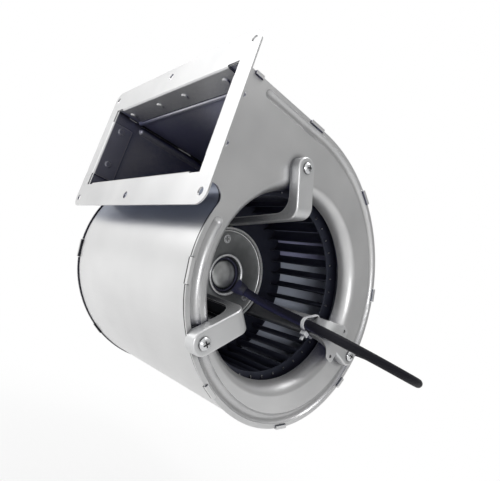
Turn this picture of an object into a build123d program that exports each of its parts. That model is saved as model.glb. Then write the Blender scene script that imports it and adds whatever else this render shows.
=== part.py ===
"""Double-inlet centrifugal blower with an outlet flange.

A forward-curved impeller turns on an external-rotor motor inside a sheet-steel scroll. Three pressed
arms in the near inlet carry the motor, and its lead is tied to the lower right arm.

Everything is modelled in the fan's frame and moved into place when it is written:
fan's frame: origin on the impeller's axis at mid width, X along the axis towards the near inlet, Z up,
the outlet facing -Y. Part's frame: same directions, origin at the middle of the outlet flange's face.
Millimetres.
"""

import os
from math import acos, asin, atan2, cos, degrees, pi, radians, sin, sqrt, tan

from build123d import *

# Housing
SHEET = 1.0  # side plates and scroll wrapper
HALF_WIDTH = 91.5  # mid width to the outer face of a side plate
RIM_LIP = 1.0  # how far the side plates reach past the wrapper
DUCT_TOP = 119.0  # top edge of the side plates, above the axis
DUCT_BOTTOM = 39.0  # underside of the outlet duct, above the axis
SCROLL_START = -14.0  # along Y, where the flat top turns into the scroll
SCROLL_ARCS = (  # radius past the impeller's and degrees of turn, from the flat top round to the tongue
    (41.0, 48.0),
    (36.0, 48.0),
    (21.0, 48.0),
    (10.0, 48.0),
    (27.0, 48.0),
    (9.0, 50.0),
)

# Side plates
THROAT_RADIUS = 70.0  # narrowest opening of an inlet
MOUTH_DEPTH = 12.5  # how far the rolled inlet reaches inwards
MOUTH_ROLL = 8.0  # how much wider the inlet is at the face
BEAD_INSET = 7.0  # outline to the middle of the stiffening bead
BEAD_RADIUS = 4.0
BEAD_DEPTH = 2.5
BEAD_START = -74.0  # along Y, where the bead begins on the flat top
BEAD_STOP = 6.0  # degrees of the last arc left plain beside the tongue

# Lock tabs of the wrapper
RIM_TABS = (  # the rim's heading there in degrees, clockwise from the flat top, and the tab's length
    (-35.0, 13.0),
    (-79.0, 11.0),
    (-124.0, 9.0),
    (-168.0, 10.0),
    (-214.0, 11.0),
    (-261.0, 16.0),
)
TOP_TABS = ((-87.0, 7.0), (-24.0, 15.0))  # along Y and length, on the flat top
TAB_RISE = 1.4  # how far a tab stands past the side plate
TAB_FOLD = 2.4  # thickness of a folded tab
TAB_GAP = 0.4  # slot wider than its tab
OUTSIDE = 400.0  # larger than the housing, for blocks that cut

# Outlet flange
FLANGE_SIDE = 14.5  # side of the duct to the flange's edge
FLANGE_RISE = 19.0  # top or floor of the duct to the flange's edge
FLANGE_SHEET = 1.2
FLANGE_CORNER = 9.0
FLANGE_FACE = 104.0  # axis to the flange's front face
FLANGE_HOLE = 5.5  # bolt hole diameter
HOLE_SIDE = 7.0  # side edge of the flange to a bolt hole's centre
HOLE_RISE = 8.0  # upper or lower edge to a bolt hole's centre
COLLAR_DEPTH = 20.0  # flange face to the end of the collar inside the duct
COLLAR_BEND = 0.6  # inner radius of the collar's bend
COLLAR_NOTCH = 10.0  # corner relief between two sides of the collar
CLINCH_DEPTH = 10.0  # flange face to the round clinches that hold the collar in the duct
CLINCH_END = (4.1, 13.1)  # ends of the collar's long sides to their first and last clinch
CLINCH_SPACING = (50.0, 39.0)  # first to second and second to third clinch there
CLINCH_Z = (66.0, 100.0)  # on both sides of the duct, above the axis
CLINCH_RADIUS = 3.2
CLINCH_HEIGHT = 1.1
CLINCH_DIMPLE = 0.7  # depth outside
CLINCH_DRAFT = 0.8
RIB_DEPTH = 23.5  # flange face to the stiffening rib across the duct's top
RIB_RADIUS = 2.6
RIB_RISE = 0.4  # middle of the rib above the duct's inner face
RIB_INSET = 4.5  # end of the rib to the side plate
SEAT_GAP = 0.2  # between pieces that lie on each other
PRESS_GAP = 0.05  # between pieces that are pressed together

# Motor arms
ARM_SHEET = 1.5
ARM_WIDTH = 16.0
ARM_ANGLES = {"arm_top": 110.0, "arm_lower_left": 218.0, "arm_lower_right": 337.0}
ARM_BOLT_RADIUS = 85.5  # axis to an arm's screw
ARM_RISE = 8.5  # side plate to the arm's outer face
ARM_BEND = 10.0
ARM_LEG_OUTER = 49.5  # axis to the leg's face at the foot
ARM_RIM_GAP = 0.5  # motor flange's edge to the leg's face
ARM_WALL = 5.5  # height of the leg's side walls
ARM_WALL_BEND = 13.0  # radius of a side wall's free edge between leg and foot
ARM_EDGE = 1.4
ARM_TAB = 17.0  # length of the tab behind the motor flange
EAR_REACH = (17.0, 13.0)  # middle of the lower right arm to the tips of its two ears
EAR_LENGTH = 11.0
EAR_CORNER = 2.0
EAR_FLARE = 15.0  # radius from the leg's edge out to an ear
EAR_HOLE = 3.0
EAR_HOLE_INSET = 3.2  # tip of an ear to its hole

# M4 screws
SCREW_RADIUS = 1.95
SCREW_HEAD_RADIUS = 4.0
SCREW_HEAD_HEIGHT = 2.6
SCREW_RECESS = 1.3
CROSS = (4.4, 1.0)  # length and width of the recess's two slots
SCREW_CLEARANCE = 0.15
DRAWN_COLLAR_WALL = 0.8  # screw collar drawn inwards from the side plate
DRAWN_COLLAR_HEIGHT = 3.0
SPACER_RADIUS = 4.5
FLUSH_HEAD_RADIUS = 3.8  # countersunk screws of the motor flange
FLUSH_HEAD_HEIGHT = 1.9

# Motor
MOTOR_FACE = 13.0  # along X, near face of the motor flange
MOTOR_FLANGE_RADIUS = 41.5
MOTOR_FLANGE_SHEET = 4.0
MOTOR_RIM = 1.0  # height of the two raised rings at the flange's edge
MOTOR_RING = 0.8  # width of each
MOTOR_GROOVE = 0.6  # between their feet
MOTOR_BOLT_RADIUS = 31.0
CAST_RING_INNER = 17.2  # raised ring round the lead's gland
CAST_RING_WIDTH = 2.2
CAST_RING_HEIGHT = 2.0
BEARING_OUTER = 11.0
BEARING_WIDTH = 7.0
SHAFT_RADIUS = 4.0
SHAFT_PROUD = 1.5  # past the near bearing
SHAFT_BEVEL = 0.4
RUNNING_GAP = 0.05  # bearing bore to shaft
TUBE_WALL = 2.0  # bearing tube
TUBE_END = -36.0  # along X
CAP_RADIUS = 12.0
CAP_HEIGHT = 6.5
CAP_ROUND = 4.0
CAP_SKIRT = 3.0
CORE_RADIUS = 34.0  # stator
CORE_START, CORE_END = -26.0, -2.0
WINDING_INNER, WINDING_OUTER, WINDING_REACH, WINDING_ROUND = 17.0, 31.0, 6.5, 2.5
AIR_GAP = 0.5
BELL_RADIUS = 41.0
BELL_WALL = 2.5
BELL_OPEN, BELL_CLOSED = 5.0, -46.0  # along X
BELL_FLANGE_RADIUS = 50.0
BELL_FLANGE_SHEET = 2.0
BELL_CORNER = 6.0  # bevel of the closed end
BELL_HUB_RADIUS = 9.0
BELL_HUB_LENGTH = 5.0
BEARING_DEPTH = 1.0  # end of the bearing tube to its bearing
BEARING_NEAR_END = 8.0  # along X

# Impeller
IMPELLER_RADIUS = 80.0
IMPELLER_HALF = 70.0  # mid width to an end ring's outer face
BLADES = 38  # on each side
BLADE_DEPTH = 13.5  # impeller's radius less the blades' inner radius
BLADE_LEAN = 2.6  # degrees that the tip runs ahead of the root
BLADE_BOW = 3.0
BLADE_SHEET = 0.6
DISC_SHEET = 1.5
RING_SHEET = 1.4
RING_SETBACK = 0.5  # blades' inner edges to the end ring's bore
RIVETS = 6
RIVET_CIRCLE = 45.5
RIVET_RADIUS = 2.0
RIVET_HEAD_RADIUS = 3.6
RIVET_HEAD_HEIGHT = 1.3

# Lead
CABLE_RADIUS = 3.75
GLAND_HEIGHT = 2.5
BOOT_LENGTH = 17.0  # tapered boot that the lead comes out of
BOOT_ROOT_RADIUS = 7.8
BOOT_TIP_RADIUS = 4.6
TIE_STATION = 82.0  # along X, where the tie holds the lead
TIE_WIDTH = 2.7
TIE_SHEET = 1.1
TIE_LOCK = (4.7, 5.0, 3.6)  # along X, away from the axis and across the arm
TIE_TAIL = 4.0  # cut end past the lock
CORES = 4
CORE_WIRE_RADIUS = 1.1
CORE_CIRCLE = 1.75
CORE_LENGTH = 13.0
CORE_SPLAY = 5.0  # degrees
BARE_RADIUS = 0.6
BARE_LENGTH = 6.0
# Lead's route: along X, away from the axis in the lower right arm's plane, and across that plane
CABLE_ON_ARM = (
    (22.0, 21.5, 0.0),
    (33.5, 30.5, -0.5),
    (51.0, 36.9, -1.3),
    (73.5, 41.2, -2.8),
    (104.5, 45.6, -6.0),
    (127.0, 76.0, 0.0),
)
# and, past the arm, in the fan's frame: out, round behind the housing and down
CABLE_FREE = (
    (143.0, 108.0, -36.5),
    (134.1, 137.7, -37.6),
    (108.5, 154.9, -34.3),
    (79.0, 153.0, -28.5),
    (50.0, 143.0, -27.0),
    (26.0, 134.0, -43.0),
    (15.0, 129.5, -59.0),
    (11.0, 127.5, -77.0),
)

FLANGE_CENTRE = (DUCT_TOP + DUCT_BOTTOM) / 2
IN_PLACE = Location((0, FLANGE_FACE, -FLANGE_CENTRE))
WRAPPER_HALF = HALF_WIDTH - SHEET
DUCT_FRONT = -FLANGE_FACE + FLANGE_SHEET + COLLAR_BEND  # along Y, where the duct's walls end
ARM_FACE = HALF_WIDTH + ARM_RISE
FLANGE_WIDTH = 2 * (HALF_WIDTH + FLANGE_SIDE)
FLANGE_HEIGHT = DUCT_TOP - DUCT_BOTTOM + 2 * FLANGE_RISE
MOTOR_BACK = MOTOR_FACE - MOTOR_FLANGE_SHEET
BLADE_INNER = IMPELLER_RADIUS - BLADE_DEPTH
RING_INNER = BLADE_INNER + RING_SETBACK
DISC_HALF = DISC_SHEET / 2
RING_FACE = IMPELLER_HALF - RING_SHEET
TUBE_RADIUS = BEARING_OUTER + TUBE_WALL


def write(name, shape):
    """One STEP file per piece, in the part's frame."""
    moved = IN_PLACE * shape
    moved.label = name
    export_step(moved, f"parts/{name}.step")


def about_axis(points):
    """Solid of revolution about the fan's axis, from (along X, radius) points."""
    return revolve(make_face(Polyline(*points, close=True)), Axis.X)


def ring(outer, inner, start, end):
    """Plain ring on the fan's axis between two stations along X."""
    return about_axis([(start, inner), (end, inner), (end, outer), (start, outer)])


def at_angle(shape, angle):
    """A shape modelled along +Y, turned about the fan's axis."""
    return Rotation(angle, 0, 0) * shape


def along_x(y, z, start, end, radius):
    """Round bar parallel to the axis."""
    return extrude(Plane.YZ.offset(start) * Pos(y, z) * Circle(radius), end - start)


def on_circle(radius, angle):
    return radius * cos(radians(angle)), radius * sin(radians(angle))


# Scroll outline, drawn with Y to the right and Z up


def scroll_arcs():
    """Centre, radius, first and last heading in degrees of each arc, and where the last one ends."""
    y, z, heading, arcs = SCROLL_START, DUCT_TOP, 0.0, []
    for extra, turn in SCROLL_ARCS:
        radius = IMPELLER_RADIUS + extra
        centre = (y + radius * sin(radians(heading)), z - radius * cos(radians(heading)))
        arcs.append((centre, radius, heading, heading - turn))
        heading -= turn
        y = centre[0] - radius * sin(radians(heading))
        z = centre[1] + radius * cos(radians(heading))
    return arcs, (y, z)


ARCS, SCROLL_END = scroll_arcs()
END_HEADING = ARCS[-1][3] + 360
TONGUE_RADIUS = (DUCT_BOTTOM - SCROLL_END[1]) / (1 + cos(radians(END_HEADING)))
TONGUE_CENTRE = (
    SCROLL_END[0] - TONGUE_RADIUS * sin(radians(END_HEADING)),
    SCROLL_END[1] + TONGUE_RADIUS * cos(radians(END_HEADING)),
)


def on_arc(centre, radius, heading):
    """Point of a clockwise arc where it has this heading."""
    return centre[0] - radius * sin(radians(heading)), centre[1] + radius * cos(radians(heading))


def arc_edge(centre, radius, first, last):
    middle = (first + last) / 2
    return ThreePointArc(*(on_arc(centre, radius, h) for h in (first, middle, last)))


def outline(inset, front, last_cut=0.0, tongue=True):
    """Edges parallel to the scroll's outline, from the flat top at Y = front round to the duct's floor."""
    top = DUCT_TOP - inset
    edges = [Line((front, top), (SCROLL_START, top))]
    for number, (centre, radius, first, last) in enumerate(ARCS):
        stop = last + last_cut if number == len(ARCS) - 1 else last
        edges.append(arc_edge(centre, radius - inset, first, stop))
    if tongue:
        # the tongue turns the other way, so its radius grows with the inset
        edges.append(arc_edge(TONGUE_CENTRE, -(TONGUE_RADIUS + inset), END_HEADING, 180.0))
        edges.append(Line(edges[-1] @ 1, (front, DUCT_BOTTOM + inset)))
    return edges


def outline_face(inset, front):
    edges = outline(inset, front)
    return make_face(edges + [Line(edges[-1] @ 1, edges[0] @ 0)])


def strip_face(outer, inner, front):
    """Open strip between two insets of the outline."""
    far, near = outline(outer, front), outline(inner, front)
    ends = [Line(far[0] @ 0, near[0] @ 0), Line(far[-1] @ 1, near[-1] @ 1)]
    return make_face(far + near + ends)


def tab_planes():
    """For each lock tab, its length and a frame at its middle, X along the rim and Y outwards."""
    places = [((y, DUCT_TOP), 0.0, length) for y, length in TOP_TABS]
    for heading, length in RIM_TABS:
        centre, radius = next((c, r) for c, r, first, last in ARCS if last < heading <= first)
        places.append((on_arc(centre, radius, heading), heading, length))
    for (y, z), heading, length in places:
        along = (0, cos(radians(heading)), sin(radians(heading)))
        yield Plane(origin=(0, y, z), x_dir=along, z_dir=(1, 0, 0)), length


def tab_block(plane, length, inner, outer, start, end):
    """Block on a tab's frame between two insets of the outline and two stations along X."""
    face = Pos(0, -(inner + outer) / 2) * Rectangle(length, inner - outer)
    return extrude(plane.offset(start) * face, end - start)


# Housing


def rolled_inlet():
    """Bell mouth: a quarter of an ellipse from the plate's face down to the throat."""
    quarter = 90
    x, r = HALF_WIDTH - MOUTH_DEPTH, THROAT_RADIUS + MOUTH_ROLL
    front = EllipticalCenterArc((x, r), MOUTH_DEPTH, MOUTH_ROLL, 3 * quarter, arc_size=quarter)
    deep, wide = MOUTH_DEPTH - SHEET, MOUTH_ROLL - SHEET
    back = EllipticalCenterArc((x, r), deep, wide, 3 * quarter, arc_size=quarter)
    ends = [Line(front @ 0, back @ 0), Line(front @ 1, back @ 1)]
    return revolve(make_face([front, back] + ends), Axis.X)


def bead(radius):
    """Round bar along the bead, with rounded ends."""
    edges = outline(BEAD_INSET, BEAD_START, last_cut=BEAD_STOP, tongue=False)
    x = HALF_WIDTH + BEAD_RADIUS - BEAD_DEPTH
    path = Wire([Plane.YZ.offset(x) * edge for edge in edges])
    section = Plane(origin=path @ 0, z_dir=path % 0) * Circle(radius)
    bar = sweep(section, path=path)
    for end in (path @ 0, path @ 1):
        bar += Pos(*end) * Sphere(radius)
    for angle in ARM_ANGLES.values():  # flat pads for the arms
        bar -= along_x(*on_circle(ARM_BOLT_RADIUS, angle), x - 2 * radius, x + 2 * radius, ARM_WIDTH / 2)
    return bar


def clinches():
    """For each clinch, a frame on the collar's inner face and one on the duct's outer face, Z inwards."""
    y, inset = CLINCH_DEPTH - FLANGE_FACE, SHEET + SEAT_GAP + FLANGE_SHEET
    half = HALF_WIDTH - inset - COLLAR_NOTCH
    first, last = CLINCH_END[0] - half, half - CLINCH_END[1]
    second = first + CLINCH_SPACING[0]
    for side in (-1, 1):
        outside = FLANGE_CENTRE + side * ((DUCT_TOP - DUCT_BOTTOM) / 2 - RIM_LIP)
        for x in (first, second, second + CLINCH_SPACING[1], last):
            yield (
                Plane(origin=(x, y, outside - side * inset), z_dir=(0, 0, -side)),
                Plane(origin=(x, y, outside), z_dir=(0, 0, -side)),
            )
        for z in CLINCH_Z:
            yield (
                Plane(origin=(side * (HALF_WIDTH - inset), y, z), z_dir=(-side, 0, 0)),
                Plane(origin=(side * HALF_WIDTH, y, z), z_dir=(-side, 0, 0)),
            )


def clinch_dimples():
    """The clinches' hollows in the outer faces of the duct."""
    base = (Align.CENTER, Align.CENTER, Align.MIN)
    wide = CLINCH_RADIUS - SHEET
    return [outer * Cone(wide, wide - CLINCH_DRAFT, CLINCH_DIMPLE, align=base) for _, outer in clinches()]


def side_plate(drilled):
    """Side plate at +X; the arms' screws only go into the near one."""
    back = HALF_WIDTH - SHEET
    flat = extrude(Plane.YZ.offset(back) * outline_face(0, DUCT_FRONT), SHEET)
    flat -= along_x(0, 0, back - 1, HALF_WIDTH + 1, THROAT_RADIUS + MOUTH_ROLL)
    bulge = bead(BEAD_RADIUS + SHEET)
    bulge &= Pos(back - BEAD_DEPTH + SHEET / 2, 0, 0) * Box(2 * BEAD_DEPTH + SHEET, OUTSIDE, OUTSIDE)
    plate = flat + bulge - bead(BEAD_RADIUS) + rolled_inlet()
    for plane, length in tab_planes():
        inner = RIM_LIP + SHEET + TAB_GAP
        plate -= tab_block(plane, length + 2 * TAB_GAP, inner, -2.0, back - 1, HALF_WIDTH + 1)
    for dimple in clinch_dimples():
        plate -= dimple
    if drilled:
        bore = SCREW_RADIUS + SCREW_CLEARANCE / 2
        for angle in ARM_ANGLES.values():
            spot = on_circle(ARM_BOLT_RADIUS, angle)
            plate += along_x(*spot, back - DRAWN_COLLAR_HEIGHT, HALF_WIDTH, bore + DRAWN_COLLAR_WALL)
            plate -= along_x(*spot, back - DRAWN_COLLAR_HEIGHT - 1, HALF_WIDTH + 1, bore)
    return plate


def scroll_wrapper():
    """Sheet bent round the scroll, with its lock tabs standing through both side plates."""
    strip = strip_face(RIM_LIP, RIM_LIP + SHEET, DUCT_FRONT)
    wrapper = extrude(Plane.YZ * strip, WRAPPER_HALF, both=True)
    inner = RIM_LIP + SHEET
    root, tip = WRAPPER_HALF - 1, HALF_WIDTH + TAB_RISE
    for plane, length in tab_planes():
        for start, end in ((root, tip), (-tip, -root)):
            wrapper += tab_block(plane, length, inner, inner - TAB_FOLD, start, end)
    y, z = RIB_DEPTH - FLANGE_FACE, DUCT_TOP - inner + RIB_RISE
    reach = WRAPPER_HALF - RIB_INSET
    rib = along_x(y, z, -reach, reach, RIB_RADIUS)
    rib -= Pos(0, y, DUCT_TOP - RIM_LIP + OUTSIDE / 2) * Box(OUTSIDE, OUTSIDE, OUTSIDE)
    wrapper += rib
    wrapper -= along_x(y, z, -reach + SHEET, reach - SHEET, RIB_RADIUS - SHEET)
    for dimple in clinch_dimples():
        wrapper -= dimple
    return wrapper


def outlet_flange():
    """Flange frame and the four sides of its collar, bent into the duct from one sheet."""
    bend = COLLAR_BEND + FLANGE_SHEET
    wall = SHEET + SEAT_GAP + FLANGE_SHEET
    half_x = HALF_WIDTH - wall
    half_z = (DUCT_TOP - DUCT_BOTTOM) / 2 - RIM_LIP - wall
    front = Plane.XZ.offset(FLANGE_FACE)
    face = Pos(0, FLANGE_CENTRE) * RectangleRounded(FLANGE_WIDTH, FLANGE_HEIGHT, FLANGE_CORNER)
    face -= Pos(0, FLANGE_CENTRE) * Rectangle(2 * (half_x + bend), 2 * (half_z + bend))
    bolt_x, bolt_z = FLANGE_WIDTH / 2 - HOLE_SIDE, FLANGE_HEIGHT / 2 - HOLE_RISE
    for x in (-bolt_x, 0, bolt_x):
        for z in (-bolt_z, bolt_z):
            face -= Pos(x, FLANGE_CENTRE + z) * Circle(FLANGE_HOLE / 2)
    flange = extrude(front * face, -FLANGE_SHEET)
    root = 0.5  # overlap of a collar's bend with the frame
    profile = make_face(
        [
            Line((0, bend + root), (0, bend)),
            ThreePointArc((0, bend), (bend - bend * cos(pi / 4), bend - bend * sin(pi / 4)), (bend, 0)),
            Line((bend, 0), (COLLAR_DEPTH, 0)),
            Line((COLLAR_DEPTH, 0), (COLLAR_DEPTH, FLANGE_SHEET)),
            Line((COLLAR_DEPTH, FLANGE_SHEET), (bend, FLANGE_SHEET)),
            ThreePointArc(
                (bend, FLANGE_SHEET),
                (bend - COLLAR_BEND * cos(pi / 4), bend - COLLAR_BEND * sin(pi / 4)),
                (FLANGE_SHEET, bend),
            ),
            Line((FLANGE_SHEET, bend), (FLANGE_SHEET, bend + root)),
            Line((FLANGE_SHEET, bend + root), (0, bend + root)),
        ]
    )
    inwards = (0, 1, 0)
    sides = (
        ((0, FLANGE_CENTRE + half_z), (1, 0, 0), half_x),
        ((0, FLANGE_CENTRE - half_z), (-1, 0, 0), half_x),
        ((half_x, FLANGE_CENTRE), (0, 0, -1), half_z),
        ((-half_x, FLANGE_CENTRE), (0, 0, 1), half_z),
    )
    for (x, z), along, half in sides:
        plane = Plane(origin=(x, -FLANGE_FACE, z), x_dir=inwards, z_dir=along)
        flange += extrude(plane * profile, half - COLLAR_NOTCH, both=True)
    for plane, _ in clinches():
        base = (Align.CENTER, Align.CENTER, Align.MIN)
        flange += plane * Cone(CLINCH_RADIUS, CLINCH_RADIUS - CLINCH_DRAFT, CLINCH_HEIGHT, align=base)
    return flange


# Motor arms, modelled along +Y and turned to their angles

ARM_INNER_X = MOTOR_BACK - ARM_SHEET
ARM_LEG_INNER = MOTOR_FLANGE_RADIUS + ARM_RIM_GAP
ARM_SLOPE = (ARM_LEG_OUTER - ARM_LEG_INNER) / (ARM_FACE - ARM_INNER_X)


def leg_radius(x):
    """Axis to the leg's face at a station along X."""
    return ARM_LEG_INNER + ARM_SLOPE * (x - ARM_INNER_X)


def capsule(half_width, start, end):
    """Prism along X with a round end about the arm's screw."""
    low = ARM_LEG_INNER - ARM_TAB
    face = Pos((low + ARM_BOLT_RADIUS) / 2, 0) * Rectangle(ARM_BOLT_RADIUS - low, 2 * half_width)
    face += Pos(ARM_BOLT_RADIUS, 0) * Circle(half_width)
    return extrude(Plane.YZ.offset(start) * face, end - start)


def arm():
    """Pressed channel: foot on the side plate, bend, leg to the motor and a tab behind the motor flange."""
    half = ARM_WIDTH / 2
    far = ARM_BOLT_RADIUS + 2 * half
    inner_corner = (HALF_WIDTH, leg_radius(HALF_WIDTH) + ARM_WALL)
    side = make_face(
        Polyline(
            (ARM_FACE, far),
            (ARM_FACE, ARM_LEG_OUTER),
            (ARM_INNER_X, ARM_LEG_INNER),
            (ARM_INNER_X, ARM_LEG_INNER + ARM_WALL),
            inner_corner,
            (HALF_WIDTH, far),
            close=True,
        )
    )
    side = fillet(side.vertices().sort_by_distance(Vector(*inner_corner))[0], ARM_WALL_BEND)
    outer = extrude(side, half, both=True) & capsule(half, ARM_INNER_X, ARM_FACE)
    corner = outer.edges().filter_by(Axis.Z).sort_by(Axis.X)
    corner = [e for e in corner if abs(e.center().Y - ARM_LEG_OUTER) < 0.1 and e.center().X > ARM_FACE - 0.1]
    outer = fillet(corner, ARM_BEND)
    web = outer.faces().filter_by(lambda f: f.center().X > ARM_FACE - 0.01)[0]
    outer = fillet(web.edges().filter_by(lambda e: e.center().Y > ARM_LEG_OUTER + ARM_BEND + 1), ARM_EDGE)
    inner_side = make_face(
        Polyline(
            (ARM_FACE - ARM_SHEET, far + ARM_SHEET),
            (ARM_FACE - ARM_SHEET, ARM_LEG_OUTER + ARM_SHEET),
            (ARM_INNER_X - ARM_SHEET, leg_radius(ARM_INNER_X - ARM_SHEET) + ARM_SHEET),
            (ARM_INNER_X - ARM_SHEET, far + ARM_SHEET),
            close=True,
        )
    )
    inner = extrude(inner_side, half - ARM_SHEET, both=True)
    corner = [
        e
        for e in inner.edges().filter_by(Axis.Z)
        if e.center().X > ARM_FACE - ARM_SHEET - 0.1 and e.center().Y < ARM_LEG_OUTER + ARM_SHEET + 1
    ]
    inner = fillet(corner, ARM_BEND - ARM_SHEET)
    inner &= capsule(half - ARM_SHEET, ARM_INNER_X - 2 * ARM_SHEET, ARM_FACE)
    piece = outer - inner
    tab = Pos(ARM_LEG_INNER - ARM_TAB / 2 + ARM_SHEET / 2, 0) * Rectangle(ARM_TAB + ARM_SHEET, ARM_WIDTH)
    piece += extrude(Plane.YZ.offset(ARM_INNER_X) * tab, ARM_SHEET)
    hole = SCREW_RADIUS + SCREW_CLEARANCE
    piece -= along_x(ARM_BOLT_RADIUS, 0, ARM_FACE - ARM_SHEET - 1, ARM_FACE + 1, hole)
    piece -= along_x(MOTOR_BOLT_RADIUS, 0, ARM_INNER_X - 1, ARM_INNER_X + ARM_SHEET + 1, hole)
    return piece


def arm_with_ears():
    """The arm that carries the lead: at the bend its sheet flares into an ear with a hole on each side."""
    first, last = ARM_LEG_OUTER + ARM_BEND + 1, ARM_LEG_OUTER + ARM_BEND + EAR_LENGTH - 1
    x = ARM_FACE - 2 * EAR_FLARE
    strip = []
    for depth in (0, ARM_SHEET):
        face = ARM_FACE - depth
        points = (x, leg_radius(x) + depth), (face, ARM_LEG_OUTER + depth), (face, last)
        strip.append(FilletPolyline(*points, radius=ARM_BEND - depth))
    ends = [Line(strip[0] @ end, strip[1] @ end) for end in (0, 1)]
    sheet = extrude(make_face(strip[0].edges() + strip[1].edges() + ends), max(EAR_REACH), both=True)
    # the ears' outlines are drawn on a plane square to the bend's bisector
    view = Plane(origin=(ARM_FACE, ARM_LEG_OUTER, 0), x_dir=(1, 1, 0), z_dir=(1, -1, 0))
    tip, end = ((y - ARM_LEG_OUTER) / sqrt(2) for y in (first, last))
    half = ARM_WIDTH / 2
    root = half - ARM_SHEET * 2 / 3
    piece = arm()
    for side, reach in zip((-1, 1), EAR_REACH):
        turn = acos(1 - (reach - half) / EAR_FLARE)
        start = tip - EAR_FLARE * sin(turn)
        middle = (start + EAR_FLARE * sin(turn / 2), side * (half + EAR_FLARE * (1 - cos(turn / 2))))
        flare = ThreePointArc((start, side * half), middle, (tip, side * reach))
        rest = Polyline(
            (tip, side * reach),
            (end, side * reach),
            (end, side * root),
            (start, side * root),
            (start, side * half),
        )
        shape = make_face(flare.edges() + rest.edges())
        corners = shape.vertices().filter_by(lambda v: abs(v.Y - side * reach) < EAR_CORNER / 100)
        ear = extrude(view * fillet(corners, EAR_CORNER), OUTSIDE / 4, both=True) & sheet
        hole = ((first + last) / 2, side * (reach - EAR_HOLE_INSET))
        piece += ear - along_x(*hole, ARM_FACE - ARM_SHEET - 1, ARM_FACE + 1, EAR_HOLE / 2)
    return piece


def pan_screw(length):
    """Cross-recess pan head on X = 0 pointing to +X, its shank below."""
    dome = make_face(
        [
            Line((0, 0), (0, SCREW_HEAD_RADIUS)),
            Line((0, SCREW_HEAD_RADIUS), (SCREW_HEAD_HEIGHT * 0.4, SCREW_HEAD_RADIUS)),
            ThreePointArc(
                (SCREW_HEAD_HEIGHT * 0.4, SCREW_HEAD_RADIUS),
                (SCREW_HEAD_HEIGHT * 0.85, SCREW_HEAD_RADIUS * 0.6),
                (SCREW_HEAD_HEIGHT, 0),
            ),
            Line((SCREW_HEAD_HEIGHT, 0), (0, 0)),
        ]
    )
    screw = revolve(dome, Axis.X) + along_x(0, 0, -length, 0, SCREW_RADIUS)
    for y, z in (CROSS, CROSS[::-1]):
        screw -= Pos(SCREW_HEAD_HEIGHT, 0, 0) * Box(2 * SCREW_RECESS, y, z)
    return screw


def flush_screw(length):
    """Cross-recess countersunk head level with X = 0 pointing to +X, its shank below."""
    head, shank = FLUSH_HEAD_RADIUS, SCREW_RADIUS
    cone_end, tip = (-FLUSH_HEAD_HEIGHT, shank), (-length, shank)
    screw = revolve(make_face(Polyline((0, 0), (0, head), cone_end, tip, (-length, 0), close=True)), Axis.X)
    for y, z in (CROSS, CROSS[::-1]):
        screw -= Box(2 * SCREW_RECESS, y, z)
    return screw


def around(piece, radius):
    """One copy of a small piece at each arm's angle."""
    return Compound([at_angle(Pos(0, radius, 0) * piece, angle) for angle in ARM_ANGLES.values()])


# Motor


def motor_flange():
    """Cast end flange with raised rings at its edge and round the gland, and the bearing tube."""
    back, tube = MOTOR_BACK, TUBE_RADIUS
    edge, top, low = MOTOR_FLANGE_RADIUS, MOTOR_FACE + MOTOR_RIM, MOTOR_FACE + MOTOR_RIM * 0.2
    draft = MOTOR_RIM * 0.2
    second = edge - MOTOR_RING - MOTOR_GROOVE - 2 * draft
    ring_outer = CAST_RING_INNER + CAST_RING_WIDTH
    flange = about_axis(
        [
            (TUBE_END, BEARING_OUTER),
            (MOTOR_FACE, BEARING_OUTER),
            (MOTOR_FACE, CAST_RING_INNER),
            (MOTOR_FACE + CAST_RING_HEIGHT, CAST_RING_INNER + draft),
            (MOTOR_FACE + CAST_RING_HEIGHT, ring_outer - 2 * draft),
            (MOTOR_FACE, ring_outer),
            (MOTOR_FACE, second - MOTOR_RING - draft),
            (top, second - MOTOR_RING),
            (top, second),
            (low, second + draft),
            (low, edge - MOTOR_RING - draft),
            (top, edge - MOTOR_RING),
            (top, edge),
            (back, edge),
            (back, tube),
            (TUBE_END, tube),
        ]
    )
    bore = SCREW_RADIUS + SCREW_CLEARANCE / 2
    sink = FLUSH_HEAD_RADIUS + PRESS_GAP
    slope = (FLUSH_HEAD_RADIUS - SCREW_RADIUS) / FLUSH_HEAD_HEIGHT
    depth = (sink - bore) / slope
    seat = revolve(make_face(Polyline((0, 0), (0, sink), (-depth, bore), (-depth, 0), close=True)), Axis.X)
    for angle in ARM_ANGLES.values():
        flange -= along_x(*on_circle(MOTOR_BOLT_RADIUS, angle), back - 1, MOTOR_FACE + 1, bore)
    return flange - around(Pos(MOTOR_FACE, 0, 0) * seat, MOTOR_BOLT_RADIUS)


def hub_cap():
    """Rounded cap in the end of the bearing tube."""
    head = along_x(0, 0, MOTOR_FACE, MOTOR_FACE + CAP_HEIGHT, CAP_RADIUS)
    front = head.edges().filter_by(lambda e: e.center().X > MOTOR_FACE + CAP_HEIGHT - 0.1)
    skirt = along_x(0, 0, MOTOR_FACE - CAP_SKIRT, MOTOR_FACE, BEARING_OUTER - PRESS_GAP)
    return fillet(front, CAP_ROUND) + skirt


def cable_points():
    """The lead's route in the fan's frame."""
    turn = radians(ARM_ANGLES["arm_lower_right"])
    points = [
        Vector(x, out * cos(turn) - across * sin(turn), out * sin(turn) + across * cos(turn))
        for x, out, across in CABLE_ON_ARM
    ]
    return points + [Vector(*point) for point in CABLE_FREE]


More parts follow.
